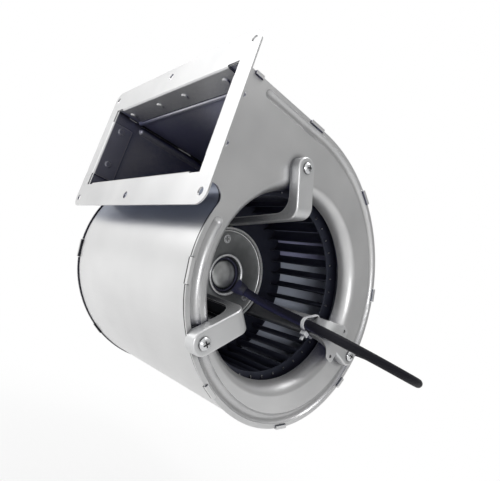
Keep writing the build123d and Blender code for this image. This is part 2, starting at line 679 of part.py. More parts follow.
def cable_gland():
    """Rubber ring round the cap with a slanted and tapered boot that the lead comes out of."""
    inner = CAP_RADIUS + SEAT_GAP
    gland = ring(CAST_RING_INNER - SEAT_GAP, inner, MOTOR_FACE, MOTOR_FACE + GLAND_HEIGHT)
    tip, following = cable_points()[:2]
    axis = (following - tip).normalized()
    base = (Align.CENTER, Align.CENTER, Align.MIN)
    boot = Plane(origin=tip - axis * BOOT_LENGTH, z_dir=axis) * Cone(
        BOOT_ROOT_RADIUS, BOOT_TIP_RADIUS, BOOT_LENGTH, align=base
    )
    clear = MOTOR_FACE + CAST_RING_HEIGHT + SEAT_GAP
    boot &= Pos(clear + OUTSIDE / 2, 0, 0) * Box(OUTSIDE, OUTSIDE, OUTSIDE)
    boot -= along_x(0, 0, 0, OUTSIDE, inner)
    return gland + boot


def cable():
    """Round lead along its route, each bend as wide as its two runs allow."""
    points = cable_points()
    radii = []
    for before, here, after in zip(points, points[1:], points[2:]):
        turn = radians((here - before).get_angle(after - here))
        radii.append(0.45 * min((here - before).length, (after - here).length) / tan(turn / 2))
    path = FilletPolyline(*points, radius=radii)
    print("lead", round(path.length, 1), "bends", [round(r, 1) for r in radii])
    section = Plane(origin=path @ 0, z_dir=path % 0) * Circle(CABLE_RADIUS)
    lead = sweep(section, path=path)
    print("volume over section by length", round(lead.volume / (pi * CABLE_RADIUS**2 * path.length), 4))
    return lead


def cable_cores():
    """Cores with bared ends that come out of the sheath's end."""
    before, end = cable_points()[-2:]
    sheath_end = Plane(origin=end, z_dir=(end - before).normalized())
    base = (Align.CENTER, Align.CENTER, Align.MIN)
    core = Cylinder(CORE_WIRE_RADIUS, CORE_LENGTH, align=base)
    core += Pos(0, 0, CORE_LENGTH) * Cylinder(BARE_RADIUS, BARE_LENGTH, align=base)
    spread = Pos(CORE_CIRCLE, 0, 0) * Rotation(0, CORE_SPLAY, 0) * core
    spread -= Pos(0, 0, -CORE_LENGTH / 2) * Box(CORE_LENGTH, CORE_LENGTH, CORE_LENGTH)
    return Compound([sheath_end * Rotation(0, 0, n * 360 / CORES) * spread for n in range(CORES)])


def cable_tie():
    """Band round the lead and the arm's leg, with its lock at the edge of the leg."""
    points = CABLE_ON_ARM
    start, end = next((a, b) for a, b in zip(points, points[1:]) if a[0] <= TIE_STATION < b[0])
    share = (TIE_STATION - start[0]) / (end[0] - start[0])
    out, across = (start[i] + share * (end[i] - start[i]) for i in (1, 2))
    bend_share = max(0, TIE_STATION + TIE_WIDTH / 2 + ARM_WALL_BEND - HALF_WIDTH) / ARM_WALL_BEND
    low = leg_radius(TIE_STATION)
    wall = ARM_WALL + ARM_WALL_BEND * (1 - cos(asin(min(bend_share, 1))))
    leg = Pos(low + wall / 2, 0) * Rectangle(wall, ARM_WIDTH)
    lead = Pos(out, across) * Circle(CABLE_RADIUS + SEAT_GAP)
    hold = make_hull(leg.edges() + lead.edges())
    band = offset(hold, SEAT_GAP + TIE_SHEET) - offset(hold, SEAT_GAP)
    tie = extrude(Plane.YZ.offset(TIE_STATION - TIE_WIDTH / 2) * band, TIE_WIDTH)
    side, under = ARM_WIDTH / 2 + TIE_LOCK[2] / 2 + 0.6, low - 1.5
    lock = Pos(TIE_STATION, under, -side) * Box(*TIE_LOCK)
    tail = Pos(TIE_STATION, under, -side - TIE_LOCK[2]) * Box(TIE_WIDTH - 0.3, TIE_SHEET, TIE_TAIL)
    tie += lock - extrude(Plane.YZ * offset(hold, SEAT_GAP), OUTSIDE)
    return at_angle(tie + tail, ARM_ANGLES["arm_lower_right"])


def rivet_holes(start, end):
    """The rivets' holes between two stations along X."""
    spots = [on_circle(RIVET_CIRCLE, number * 360 / RIVETS) for number in range(RIVETS)]
    return [along_x(*spot, start, end, RIVET_RADIUS + PRESS_GAP) for spot in spots]


def rotor_bell():
    """Cup of the external rotor with the flange that the impeller's disc is riveted to."""
    inner = BELL_RADIUS - BELL_WALL
    floor = BELL_CLOSED + BELL_WALL
    front, back = -DISC_HALF, -DISC_HALF - BELL_FLANGE_SHEET
    bell = about_axis(
        [
            (BELL_OPEN, inner),
            (BELL_OPEN, BELL_RADIUS),
            (front, BELL_RADIUS),
            (front, BELL_FLANGE_RADIUS),
            (back, BELL_FLANGE_RADIUS),
            (back, BELL_RADIUS),
            (BELL_CLOSED + BELL_CORNER, BELL_RADIUS),
            (BELL_CLOSED, BELL_RADIUS - BELL_CORNER),
            (BELL_CLOSED, SHAFT_RADIUS + PRESS_GAP),
            (floor + BELL_HUB_LENGTH, SHAFT_RADIUS + PRESS_GAP),
            (floor + BELL_HUB_LENGTH, BELL_HUB_RADIUS),
            (floor, BELL_HUB_RADIUS),
            (floor, inner - BELL_CORNER + BELL_WALL / 2),
            (floor + BELL_CORNER - BELL_WALL / 2, inner),
        ]
    )
    for hole in rivet_holes(back - 1, front + 1):
        bell -= hole
    return bell


# Impeller


def impeller_disc():
    disc = ring(IMPELLER_RADIUS - 0.5, BELL_RADIUS + PRESS_GAP, -DISC_HALF, DISC_HALF)
    for hole in rivet_holes(-DISC_HALF - 1, DISC_HALF + 1):
        disc -= hole
    return disc


def blade(start, end):
    """Forward-curved blade of thin sheet, hollow side ahead in the turning direction."""
    root = (BLADE_INNER, 0.0)
    tip = on_circle(IMPELLER_RADIUS - 1.0, BLADE_LEAN)
    chord = ((tip[0] - root[0]) ** 2 + (tip[1] - root[1]) ** 2) ** 0.5
    radius = (chord**2 / 4 + BLADE_BOW**2) / (2 * BLADE_BOW)
    along = ((tip[0] - root[0]) / chord, (tip[1] - root[1]) / chord)
    rise = radius - BLADE_BOW
    centre = (
        (root[0] + tip[0]) / 2 - along[1] * rise,
        (root[1] + tip[1]) / 2 + along[0] * rise,
    )
    first, last = (degrees(atan2(p[1] - centre[1], p[0] - centre[0])) for p in (root, tip))
    arcs = []
    for r in (radius, radius - BLADE_SHEET):
        points = [
            (centre[0] + r * cos(radians(a)), centre[1] + r * sin(radians(a)))
            for a in (first, (first + last) / 2, last)
        ]
        arcs.append(ThreePointArc(*points))
    ends = [Line(arcs[0] @ 0, arcs[1] @ 0), Line(arcs[0] @ 1, arcs[1] @ 1)]
    return extrude(Plane.YZ.offset(start) * make_face(arcs + ends), end - start)


def blades(start, end):
    one = blade(start, end)
    return Compound([at_angle(one, number * 360 / BLADES) for number in range(BLADES)])


def end_ring():
    """Ring that ties the blades' outer ends, its rim folded back over them."""
    lip = RING_FACE - 3.0
    return about_axis(
        [
            (RING_FACE, RING_INNER),
            (IMPELLER_HALF, RING_INNER),
            (IMPELLER_HALF, IMPELLER_RADIUS - 0.4),
            (IMPELLER_HALF - 0.4, IMPELLER_RADIUS),
            (lip, IMPELLER_RADIUS),
            (lip, IMPELLER_RADIUS - 0.8),
            (RING_FACE, IMPELLER_RADIUS - 0.8),
        ]
    )


def disc_rivets():
    """Round-head rivets through the disc and the rotor's flange."""
    back = -DISC_HALF - BELL_FLANGE_SHEET
    rivet = about_axis(
        [
            (back - RIVET_HEAD_HEIGHT, 0),
            (back - RIVET_HEAD_HEIGHT * 0.6, RIVET_HEAD_RADIUS * 0.7),
            (back, RIVET_HEAD_RADIUS),
            (back, RIVET_RADIUS),
            (DISC_HALF, RIVET_RADIUS),
            (DISC_HALF, RIVET_HEAD_RADIUS),
            (DISC_HALF + RIVET_HEAD_HEIGHT * 0.6, RIVET_HEAD_RADIUS * 0.7),
            (DISC_HALF + RIVET_HEAD_HEIGHT, 0),
        ]
    )
    return Compound([at_angle(Pos(0, RIVET_CIRCLE, 0) * rivet, n * 360 / RIVETS) for n in range(RIVETS)])


def main():
    os.makedirs("parts", exist_ok=True)
    write("right_side_plate", side_plate(drilled=True))
    write("left_side_plate", mirror(side_plate(drilled=False), about=Plane.YZ))
    write("scroll_wrapper", scroll_wrapper())
    write("outlet_flange", outlet_flange())

    for name, angle in ARM_ANGLES.items():
        write(name, at_angle(arm_with_ears() if name == "arm_lower_right" else arm(), angle))
    spacer = ring(SPACER_RADIUS, SCREW_RADIUS + SCREW_CLEARANCE, HALF_WIDTH, ARM_FACE - ARM_SHEET)
    write("arm_spacers", around(spacer, ARM_BOLT_RADIUS))
    reach = ARM_RISE + SHEET + DRAWN_COLLAR_HEIGHT + 1
    write("arm_screws", around(Pos(ARM_FACE, 0, 0) * pan_screw(reach), ARM_BOLT_RADIUS))
    motor_screw = Pos(MOTOR_FACE, 0, 0) * flush_screw(MOTOR_FLANGE_SHEET + ARM_SHEET + 1)
    write("motor_flange_screws", around(motor_screw, MOTOR_BOLT_RADIUS))

    write("motor_flange", motor_flange())
    write("hub_cap", hub_cap())
    write("cable_gland", cable_gland())
    write("stator_core", ring(CORE_RADIUS, TUBE_RADIUS + PRESS_GAP, CORE_START, CORE_END))
    near = ring(WINDING_OUTER, WINDING_INNER, CORE_END, CORE_END + WINDING_REACH)
    far = ring(WINDING_OUTER, WINDING_INNER, CORE_START - WINDING_REACH, CORE_START)
    write("stator_windings", Compound([fillet(coil.edges(), WINDING_ROUND) for coil in (near, far)]))
    outer, bore = BEARING_OUTER - PRESS_GAP, SHAFT_RADIUS + RUNNING_GAP
    write("bearing_near", ring(outer, bore, BEARING_NEAR_END - BEARING_WIDTH, BEARING_NEAR_END))
    far_end = TUBE_END + BEARING_DEPTH
    write("bearing_far", ring(outer, bore, far_end, far_end + BEARING_WIDTH))

    shaft = along_x(0, 0, BELL_CLOSED, BEARING_NEAR_END + SHAFT_PROUD, SHAFT_RADIUS)
    write("shaft", chamfer(shaft.edges(), SHAFT_BEVEL))
    write("rotor_bell", rotor_bell())
    core = ring(BELL_RADIUS - BELL_WALL - PRESS_GAP, CORE_RADIUS + AIR_GAP, CORE_START, CORE_END)
    write("rotor_core", core)

    write("impeller_disc", impeller_disc())
    write("disc_rivets", disc_rivets())
    write("blades_near", blades(DISC_HALF, RING_FACE))
    write("blades_far", blades(-RING_FACE, -DISC_HALF))
    write("end_ring_near", end_ring())
    write("end_ring_far", mirror(end_ring(), about=Plane.YZ))

    write("cable", cable())
    write("cable_cores", cable_cores())
    write("cable_tie", cable_tie())


if __name__ == "__main__":
    main()
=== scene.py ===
"""Double-inlet centrifugal blower with an outlet flange, dressed for a studio picture.

Metres, in the part's frame: X along the impeller's axis, Y inwards from the outlet flange, Z up.
"""

from math import cos, pi, radians, sin

import bmesh
import bpy
from mathutils import Matrix, Vector


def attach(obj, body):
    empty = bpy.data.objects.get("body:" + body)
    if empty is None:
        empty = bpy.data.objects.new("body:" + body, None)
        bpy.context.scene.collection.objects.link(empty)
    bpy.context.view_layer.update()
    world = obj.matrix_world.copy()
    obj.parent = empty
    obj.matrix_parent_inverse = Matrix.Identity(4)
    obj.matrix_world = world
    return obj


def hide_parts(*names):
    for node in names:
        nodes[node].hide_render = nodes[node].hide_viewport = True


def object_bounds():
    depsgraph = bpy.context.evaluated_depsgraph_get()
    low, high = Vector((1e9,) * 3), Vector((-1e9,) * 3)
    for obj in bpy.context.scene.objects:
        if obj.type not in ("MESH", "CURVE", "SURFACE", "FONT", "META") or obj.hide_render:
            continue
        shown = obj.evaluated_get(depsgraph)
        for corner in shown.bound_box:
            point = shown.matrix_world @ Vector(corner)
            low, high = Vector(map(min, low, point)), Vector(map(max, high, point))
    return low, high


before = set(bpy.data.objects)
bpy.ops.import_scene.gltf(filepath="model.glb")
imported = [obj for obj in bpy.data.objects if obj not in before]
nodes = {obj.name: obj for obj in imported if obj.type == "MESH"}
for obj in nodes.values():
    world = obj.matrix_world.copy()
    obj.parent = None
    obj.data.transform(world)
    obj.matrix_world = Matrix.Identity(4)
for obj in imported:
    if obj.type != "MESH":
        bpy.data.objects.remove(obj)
cad_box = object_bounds()

# Camera: in front of the outlet flange and beside the near inlet, a little below the axis and rolled as the
# blower leans in the picture.
lens = 30.02
film_width = 36.0
nearest_seen = 0.01
camera_place = (0.29656, -0.11924, -0.11322)
camera_right = (0.65524, 0.69178, 0.30348)
camera_up = (-0.06049, -0.35240, 0.93389)
camera_back = (0.75299, -0.63029, -0.18906)

camera_data = bpy.data.cameras.new("studio_camera")
camera_data.lens = lens
camera_data.sensor_width = film_width
camera_data.clip_start = nearest_seen
camera = bpy.data.objects.new("studio_camera", camera_data)
bpy.context.scene.collection.objects.link(camera)
camera_turn = Matrix((camera_right, camera_up, camera_back)).transposed()
camera.matrix_world = Matrix.Translation(camera_place) @ camera_turn.to_4x4()
bpy.context.scene.camera = camera

# Studio: a pale floor that keeps the blower's shadow, fades into a white backdrop and is clear from below, a
# room that is dim only beside the near plate, and three soft lamps: in front, overhead and beside the camera.
floor_drop = 0.1
floor_size = 3.0
floor_colour = (0.86, 0.86, 0.86, 1)
floor_fade = (0.12, 0.55, 0.72, 1.0)  # near and far from the middle, and the backdrop's share at each
mirrored_fade = (0.12, 0.75, 0.25, 1.0)  # the same for what the metal mirrors
mirrored_side = (0.35, -0.25)  # along X, where the metal mirrors none of it and all of it
backdrop_colour = (1.0, 1.0, 1.0, 1)
backdrop_side = (-0.75, -0.6, 0.28)  # towards the backdrop
room_light = (-0.85, 0.1, 0.10, 0.80)  # away from the backdrop and beside it, and the brightness at each
room_mirrored = 0.22  # share of the backdrop that the metal mirrors all round
lamps = (
    ("front_lamp", (-0.75, -0.95, 0.55), 0.9, 4.0),
    ("top_lamp", (0.42, 0.30, 0.95), 0.3, 3.5),
    ("strip_lamp", (0.90, -0.50, -0.24), 0.3, 3.2),
)
lamps_meet = Vector((0, 0.1, -0.08))


def feed(tree, socket, value):
    """Sets a socket to a plain value, or links another node's output to it."""
    if isinstance(value, bpy.types.NodeSocket):
        tree.links.new(value, socket)
    else:
        socket.default_value = value


def maths(tree, operation, *values, clamp=False):
    """The result of one operation on numbers."""
    node = tree.nodes.new("ShaderNodeMath")
    node.operation = operation
    node.use_clamp = clamp
    for socket, value in zip(node.inputs, values):
        feed(tree, socket, value)
    return node.outputs[0]


def vector_maths(tree, operation, *values, result="Value"):
    """The result of one operation on vectors: a number, or a vector where result says so."""
    node = tree.nodes.new("ShaderNodeVectorMath")
    node.operation = operation
    for socket, value in zip(node.inputs, values):
        feed(tree, socket, value)
    return node.outputs[result]


def ranged(tree, value, start, end, low=0.0, high=1.0, smooth=False):
    """Low where the value is at start, high where it is at end, and held beyond them."""
    node = tree.nodes.new("ShaderNodeMapRange")
    if smooth:
        node.interpolation_type = "SMOOTHSTEP"
    feed(tree, node.inputs["Value"], value)
    feed(tree, node.inputs["From Min"], start)
    feed(tree, node.inputs["From Max"], end)
    feed(tree, node.inputs["To Min"], low)
    feed(tree, node.inputs["To Max"], high)
    return node.outputs["Result"]


def mixed(tree, share, first, second, kind="RGBA"):
    """Between two colours, or two numbers where kind is FLOAT, with this share of the second."""
    node = tree.nodes.new("ShaderNodeMix")
    node.data_type = kind
    feed(tree, node.inputs["Factor"], share)
    feed(tree, node.inputs["A"], first)
    feed(tree, node.inputs["B"], second)
    return node.outputs["Result"]


def either(tree, share, first, second):
    """Two shaders mixed, with this share of the second."""
    node = tree.nodes.new("ShaderNodeMixShader")
    tree.links.new(share, node.inputs["Fac"])
    tree.links.new(first, node.inputs[1])
    tree.links.new(second, node.inputs[2])
    return node.outputs[0]


def object_place(tree):
    """Where a point lies on its object."""
    return tree.nodes.new("ShaderNodeTexCoord").outputs["Object"]


def apart(tree, place):
    """A place's X, Y and Z."""
    node = tree.nodes.new("ShaderNodeSeparateXYZ")
    tree.links.new(place, node.inputs[0])
    return node.outputs


floor_mesh = bpy.data.meshes.new("studio_floor")
floor_height = cad_box[0].z - floor_drop
corners = ((-1, -1), (1, -1), (1, 1), (-1, 1))
spread = [(x * floor_size, y * floor_size, floor_height) for x, y in corners]
floor_mesh.from_pydata(spread, [], [(0, 1, 2, 3)])
floor = bpy.data.objects.new("studio_floor", floor_mesh)
bpy.context.scene.collection.objects.link(floor)

paper = bpy.data.materials.new("studio_paper")
paper.use_nodes = True
tree = paper.node_tree
tree.nodes.clear()
matt = tree.nodes.new("ShaderNodeBsdfDiffuse")
matt.inputs["Color"].default_value = floor_colour
glow = tree.nodes.new("ShaderNodeEmission")
glow.inputs["Color"].default_value = backdrop_colour
glow.inputs["Strength"].default_value = 1.0
clear = tree.nodes.new("ShaderNodeBsdfTransparent")
ray = tree.nodes.new("ShaderNodeLightPath").outputs
place = object_place(tree)
away = vector_maths(tree, "LENGTH", place)
faded = ranged(tree, away, *floor_fade, smooth=True)
aside = ranged(tree, apart(tree, place)["X"], *mirrored_side, smooth=True)
lit = maths(tree, "MULTIPLY", aside, ranged(tree, away, *mirrored_fade, smooth=True))
mirrored = maths(tree, "MULTIPLY", ray["Is Glossy Ray"], lit)
shown = maths(tree, "MULTIPLY_ADD", ray["Is Camera Ray"], faded, mirrored)
from_above = either(tree, shown, matt.outputs[0], glow.outputs[0])
below = tree.nodes.new("ShaderNodeNewGeometry").outputs["Backfacing"]
output = tree.nodes.new("ShaderNodeOutputMaterial")
tree.links.new(either(tree, below, from_above, clear.outputs[0]), output.inputs["Surface"])
floor_mesh.materials.append(paper)

surround = bpy.data.worlds.new("studio_surround")
surround.use_nodes = True
bpy.context.scene.world = surround
tree = surround.node_tree
tree.nodes.clear()
direction = tree.nodes.new("ShaderNodeTexCoord").outputs["Generated"]
towards = vector_maths(tree, "DOT_PRODUCT", direction, backdrop_side)
ray = tree.nodes.new("ShaderNodeLightPath").outputs
straight = maths(tree, "ADD", ray["Is Camera Ray"], ray["Is Transmission Ray"], clamp=True)
shown = maths(tree, "MULTIPLY_ADD", ray["Is Glossy Ray"], room_mirrored, straight, clamp=True)
background = tree.nodes.new("ShaderNodeBackground")
background.inputs["Color"].default_value = backdrop_colour
brightness = mixed(tree, shown, ranged(tree, towards, *room_light, smooth=True), 1.0, kind="FLOAT")
tree.links.new(brightness, background.inputs["Strength"])
output = tree.nodes.new("ShaderNodeOutputWorld")
tree.links.new(background.outputs[0], output.inputs["Surface"])

for name, place, size, power in lamps:
    lamp_data = bpy.data.lights.new(name, "AREA")
    lamp_data.size = size
    lamp_data.energy = power
    lamp = bpy.data.objects.new(name, lamp_data)
    bpy.context.scene.collection.objects.link(lamp)
    lamp.location = place
    lamp.rotation_euler = (lamps_meet - Vector(place)).to_track_quat("-Z", "Y").to_euler()

bpy.context.scene.view_settings.view_transform = "Standard"

# Housing sheet: side plates, scroll wrapper and outlet flange of galvanised steel, rolled, cut and pressed.
# It keeps a faint grain from the rolls, soft clouds in its zinc and brighter edges, partly rubbed and partly
# painted highlight; inside and in its creases it is darkened with painted shade.
sheet_light = (0.73, 0.73, 0.73, 1)
sheet_dark = (0.63, 0.632, 0.635, 1)
wrapper_light = (0.79, 0.79, 0.79, 1)
pale_grey = (0.88, 0.88, 0.88, 1)
# colours of the painted shade: inside the housing, inside the wrapper, and outside it below the duct
sheet_shade = (0.055, 0.056, 0.13, 1)
wrapper_shade = (0.23, 0.235, 0.37, 1)
outside_shade = (0.35, 0.38, 0.46, 1)
# painted shade in small crevices and along the wrapper's joint
crevice_shade = (0.02, 0.02, 0.026, 1)
crevice_shade_onset = 0.9  # openness at which the painted shade starts, and at which it covers
crevice_shade_full = 0.35
noise_span = (0.3, 0.7)  # most of a noise lies between these
grain_detail = 3.0
edge_turn = (0.995, 0.80)  # likeness of the rounded normal to the flat one: no brightening, full brightening
edge_spots = 240.0
edge_least = 0.8  # share of the edge brightening that its spots leave everywhere
bevel_samples = 4
shade_samples = 10
joint_start = (0.0876, 0.0881)  # from the blower's middle, where the joint's dark line comes in
joint_end = (0.0906, 0.0905)  # and where it goes out
duct_underside = (-0.036, -0.039)  # along Z, from the wrapper's inside to its outside
far_wall = (  # axis, where its painted shade starts, where it is whole
    ("X", -0.0860, -0.0868),
    ("X", -0.0910, -0.0907),
    ("Y", 0.0012, 0.0020),
    ("Y", 0.055, 0.020),
)
far_wall_shade = 0.72


def new_group(name, inputs, outputs):
    """An empty node group with float or vector inputs and float outputs."""
    group = bpy.data.node_groups.new(name, "ShaderNodeTree")
    for socket, value in inputs.items():
        kind = "NodeSocketVector" if isinstance(value, tuple) else "NodeSocketFloat"
        group.interface.new_socket(socket, in_out="INPUT", socket_type=kind).default_value = value
    for socket in outputs:
        group.interface.new_socket(socket, in_out="OUTPUT", socket_type="NodeSocketFloat")
    return group, group.nodes.new("NodeGroupInput").outputs, group.nodes.new("NodeGroupOutput").inputs


def noise(tree, place, fineness, detail=2.0):
    """A soft noise over the surface, between 0 and 1."""
    node = tree.nodes.new("ShaderNodeTexNoise")
    feed(tree, node.inputs["Vector"], place)
    feed(tree, node.inputs["Scale"], fineness)
    feed(tree, node.inputs["Detail"], detail)
    return node.outputs["Fac"]


# rolled grain: fine noise stretched along the rolls, and soft patches
rolled_grain, entry, leave = new_group(
    "rolled_grain", {"Stretch": (1.0, 1.0, 1.0), "Fineness": 900.0, "Patch Size": 22.0}, ("Grain", "Patches")
)
place = object_place(rolled_grain)
stretched = vector_maths(rolled_grain, "MULTIPLY", place, entry["Stretch"], result="Vector")
feed(rolled_grain, leave["Grain"], noise(rolled_grain, stretched, entry["Fineness"], grain_detail))
feed(rolled_grain, leave["Patches"], noise(rolled_grain, place, entry["Patch Size"]))

# edge brightening, partly rubbed edges and partly painted highlight: where the rounded normal leaves the flat
# one, broken up by noise
edge_wear_and_highlight, entry, leave = new_group("edge_wear_and_highlight", {"Width": 0.0006, "Amount": 1.0}, ("Wear And Highlight",))
rounded = edge_wear_and_highlight.nodes.new("ShaderNodeBevel")
rounded.samples = bevel_samples
feed(edge_wear_and_highlight, rounded.inputs["Radius"], entry["Width"])
flat = edge_wear_and_highlight.nodes.new("ShaderNodeNewGeometry").outputs["Normal"]
edge = ranged(edge_wear_and_highlight, vector_maths(edge_wear_and_highlight, "DOT_PRODUCT", rounded.outputs[0], flat), *edge_turn)
spots = noise(edge_wear_and_highlight, object_place(edge_wear_and_highlight), edge_spots)
uneven = ranged(edge_wear_and_highlight, spots, *noise_span, low=edge_least)
broken = maths(edge_wear_and_highlight, "MULTIPLY", edge, uneven)
feed(edge_wear_and_highlight, leave["Wear And Highlight"], maths(edge_wear_and_highlight, "MULTIPLY", broken, entry["Amount"], clamp=True))

# painted shade: none where the surface stands free, most where walls close it in
painted_hollow_shade, entry, leave = new_group("painted_hollow_shade", {"Reach": 0.1, "Onset": 0.6, "Full": 0.3}, ("Shade",))
openness = painted_hollow_shade.nodes.new("ShaderNodeAmbientOcclusion")
openness.samples = shade_samples
feed(painted_hollow_shade, openness.inputs["Distance"], entry["Reach"])
feed(painted_hollow_shade, leave["Shade"], ranged(painted_hollow_shade, openness.outputs["AO"], entry["Onset"], entry["Full"]))


def layer_of(tree, group, settings):
    """A group placed in a material with its own settings."""
    node = tree.nodes.new("ShaderNodeGroup")
    node.node_tree = group
    for socket, setting in settings.items():
        node.inputs[socket].default_value = setting
    return node.outputs


def finish_of(name, light, dark, worn_and_lit, metallic, smooth, rough, stretch=(1, 1, 1), fineness=900.0,
              patch_size=22.0, wear_and_highlight=1.0, wear_and_highlight_width=0.0006, bump=0.02, bump_depth=0.0002,
              shade_colour=sheet_shade, shade_reach=0.1, shade_onset=0.6, shade_full=0.3, crevice_shade_reach=0.003):
    """A surface with grain, patches, painted shade in hollows and crevices, and edges brightened partly as
    rubbing and partly as painted highlight, as smooth and as rough as said.
    """
    material = bpy.data.materials.new(name)
    material.use_nodes = True
    tree = material.node_tree
    grain = layer_of(tree, rolled_grain, {"Stretch": stretch, "Fineness": fineness, "Patch Size": patch_size})
    edges = layer_of(tree, edge_wear_and_highlight, {"Width": wear_and_highlight_width, "Amount": wear_and_highlight})
    hollows = layer_of(tree, painted_hollow_shade, {"Reach": shade_reach, "Onset": shade_onset, "Full": shade_full})
    crevices = layer_of(
        tree, painted_hollow_shade, {"Reach": crevice_shade_reach, "Onset": crevice_shade_onset, "Full": crevice_shade_full}
    )
    clouded = mixed(tree, ranged(tree, grain["Patches"], *noise_span), dark, light)
    # painted shade: darker where walls close the surface in, darkest in small crevices
    hollow_shaded = mixed(tree, hollows["Shade"], clouded, shade_colour)
    hollow_shaded.node.name = "hollow_shade_layer"
    crevice_shaded = mixed(tree, crevices["Shade"], hollow_shaded, crevice_shade)
    relief = tree.nodes.new("ShaderNodeBump")
    relief.inputs["Strength"].default_value = bump
    relief.inputs["Distance"].default_value = bump_depth
    feed(tree, relief.inputs["Height"], grain["Grain"])
    shader = tree.nodes["Principled BSDF"]
    shader.inputs["Metallic"].default_value = metallic
    # edges brightened, partly rubbed and partly painted highlight
    feed(tree, shader.inputs["Base Color"], mixed(tree, edges["Wear And Highlight"], crevice_shaded, worn_and_lit))
    feed(tree, shader.inputs["Roughness"], ranged(tree, grain["Grain"], *noise_span, low=smooth, high=rough))
    feed(tree, shader.inputs["Normal"], relief.outputs["Normal"])
    return material


def dress(material, *names, angle=35.0):
    """The material on CAD nodes, with smooth shading up to an angle between faces."""
    for name in names:
        mesh = nodes[name].data
        mesh.materials.clear()
        mesh.materials.append(material)
        mesh.shade_smooth()
        mesh.set_sharp_from_angle(angle=radians(angle))


housing_sheet = finish_of(
    "housing_sheet", sheet_light, sheet_dark, pale_grey, metallic=0.75, smooth=0.32, rough=0.40,
    stretch=(1.0, 0.06, 1.0), shade_onset=0.62, shade_full=0.42, crevice_shade_reach=0.006,
)
wrapper_sheet = finish_of(
    "wrapper_sheet", wrapper_light, sheet_light, pale_grey, metallic=0.75, smooth=0.30, rough=0.36,
    stretch=(0.06, 1.0, 1.0), bump=0.01, shade_colour=wrapper_shade, shade_onset=0.7, shade_full=0.52,
)

# painted shade: the dark line along the joint, where the wrapper's edges are folded into the plates
tree = wrapper_sheet.node_tree
along = apart(tree, object_place(tree))
across = maths(tree, "ABSOLUTE", along["X"])
joint_shade_mask = maths(tree, "MULTIPLY", ranged(tree, across, *joint_start), ranged(tree, across, *joint_end))
colour = tree.nodes["Principled BSDF"].inputs["Base Color"]
feed(tree, colour, mixed(tree, joint_shade_mask, colour.links[0].from_socket, crevice_shade))

# paler painted shade below the duct, on the outside of the wrapper
shade_tint = mixed(tree, ranged(tree, along["Z"], *duct_underside), wrapper_shade, outside_shade)
feed(tree, tree.nodes["hollow_shade_layer"].inputs["B"], shade_tint)

# painted shade on the far wall just inside the outlet
tree = housing_sheet.node_tree
along = apart(tree, object_place(tree))
wall_shade = far_wall_shade
for axis, start, end in far_wall:
    wall_shade = maths(tree, "MULTIPLY", wall_shade, ranged(tree, along[axis], start, end))
amount = tree.nodes["hollow_shade_layer"].inputs["Factor"]
feed(tree, amount, maths(tree, "MAXIMUM", amount.links[0].from_socket, wall_shade))

dress(housing_sheet, "right_side_plate", "left_side_plate", "outlet_flange")
dress(wrapper_sheet, "scroll_wrapper")

# Motor arms: pressed from thicker zinc-plated steel, each with a foot on the side plate and a leg down to the
# motor, and brighter than the housing where the press rounded their edges, partly rubbed and partly painted
# highlight; where the inlet closes them in they are darkened with painted shade.
arm_light = (0.72, 0.725, 0.73, 1)
arm_dark = (0.66, 0.665, 0.67, 1)
arm_worn_and_lit_edge = (0.95, 0.95, 0.95, 1)
# painted shade where the inlet closes the arms in
arm_shade = (0.085, 0.088, 0.10, 1)

arm_steel = finish_of(
    "arm_steel", arm_light, arm_dark, arm_worn_and_lit_edge, metallic=0.65, smooth=0.32, rough=0.36, patch_size=40.0,
    fineness=2400.0, wear_and_highlight_width=0.0013, bump=0.004, shade_colour=arm_shade, shade_onset=0.62, shade_full=0.36,
)
dress(arm_steel, "arm_top", "arm_lower_left", "arm_lower_right")

# Small hardware: zinc-plated pan-head screws, the spacers under the arms' feet and the rivets that hold the
# impeller's disc on the rotor.
zinc_light = (0.78, 0.79, 0.80, 1)
zinc_dark = (0.64, 0.65, 0.67, 1)
# painted shade in the screws' recesses
screw_shade = (0.015, 0.015, 0.02, 1)

screw_zinc = finish_of(
    "screw_zinc", zinc_light, zinc_dark, pale_grey, metallic=0.9, smooth=0.22, rough=0.30, patch_size=120.0,
    wear_and_highlight_width=0.0004, shade_colour=screw_shade, shade_reach=0.003, shade_onset=0.85, shade_full=0.5,
)
dress(screw_zinc, "arm_spacers", "arm_screws", "motor_flange_screws", "disc_rivets", angle=25.0)

# Motor flange: a die-cast disc in its fine grey skin, with a turned double rim, a raised lip round the recess
# that takes the cap, and the bearing tube behind it; the rims and the lip are painted bright, partly as
# turned metal and partly as painted highlight. The arms' tabs are screwed to its back.
axis_y = 0.104
axis_z = -0.079
flange_profile = (  # along the axis, radius
    (-0.0360, 0.0110), (0.0090, 0.0110), (0.0090, 0.0151), (0.0126, 0.0156), (0.0139, 0.0160),
    (0.0145, 0.0166), (0.0146, 0.0173), (0.0143, 0.0180), (0.0130, 0.0189), (0.0127, 0.0196),
    (0.0127, 0.0366), (0.0130, 0.0373), (0.0138, 0.0377), (0.0141, 0.0381), (0.0141, 0.0385),
    (0.0137, 0.0389), (0.0132, 0.0391), (0.0133, 0.0395), (0.0148, 0.0399), (0.0154, 0.0403),
    (0.0155, 0.0408), (0.0153, 0.0413), (0.0148, 0.0415), (0.0090, 0.0415), (0.0090, 0.0130),
    (-0.0360, 0.0130),
)
machined_and_highlighted = (4, 5, 6, 12, 13, 14, 15, 17, 18, 19, 20, 21)  # runs of the profile that the lathe left bright, also painted bright as highlights
cast_light = (0.27, 0.278, 0.28, 1)
cast_dark = (0.18, 0.186, 0.19, 1)
cast_bright = (0.88, 0.89, 0.90, 1)
same_place = 1e-6


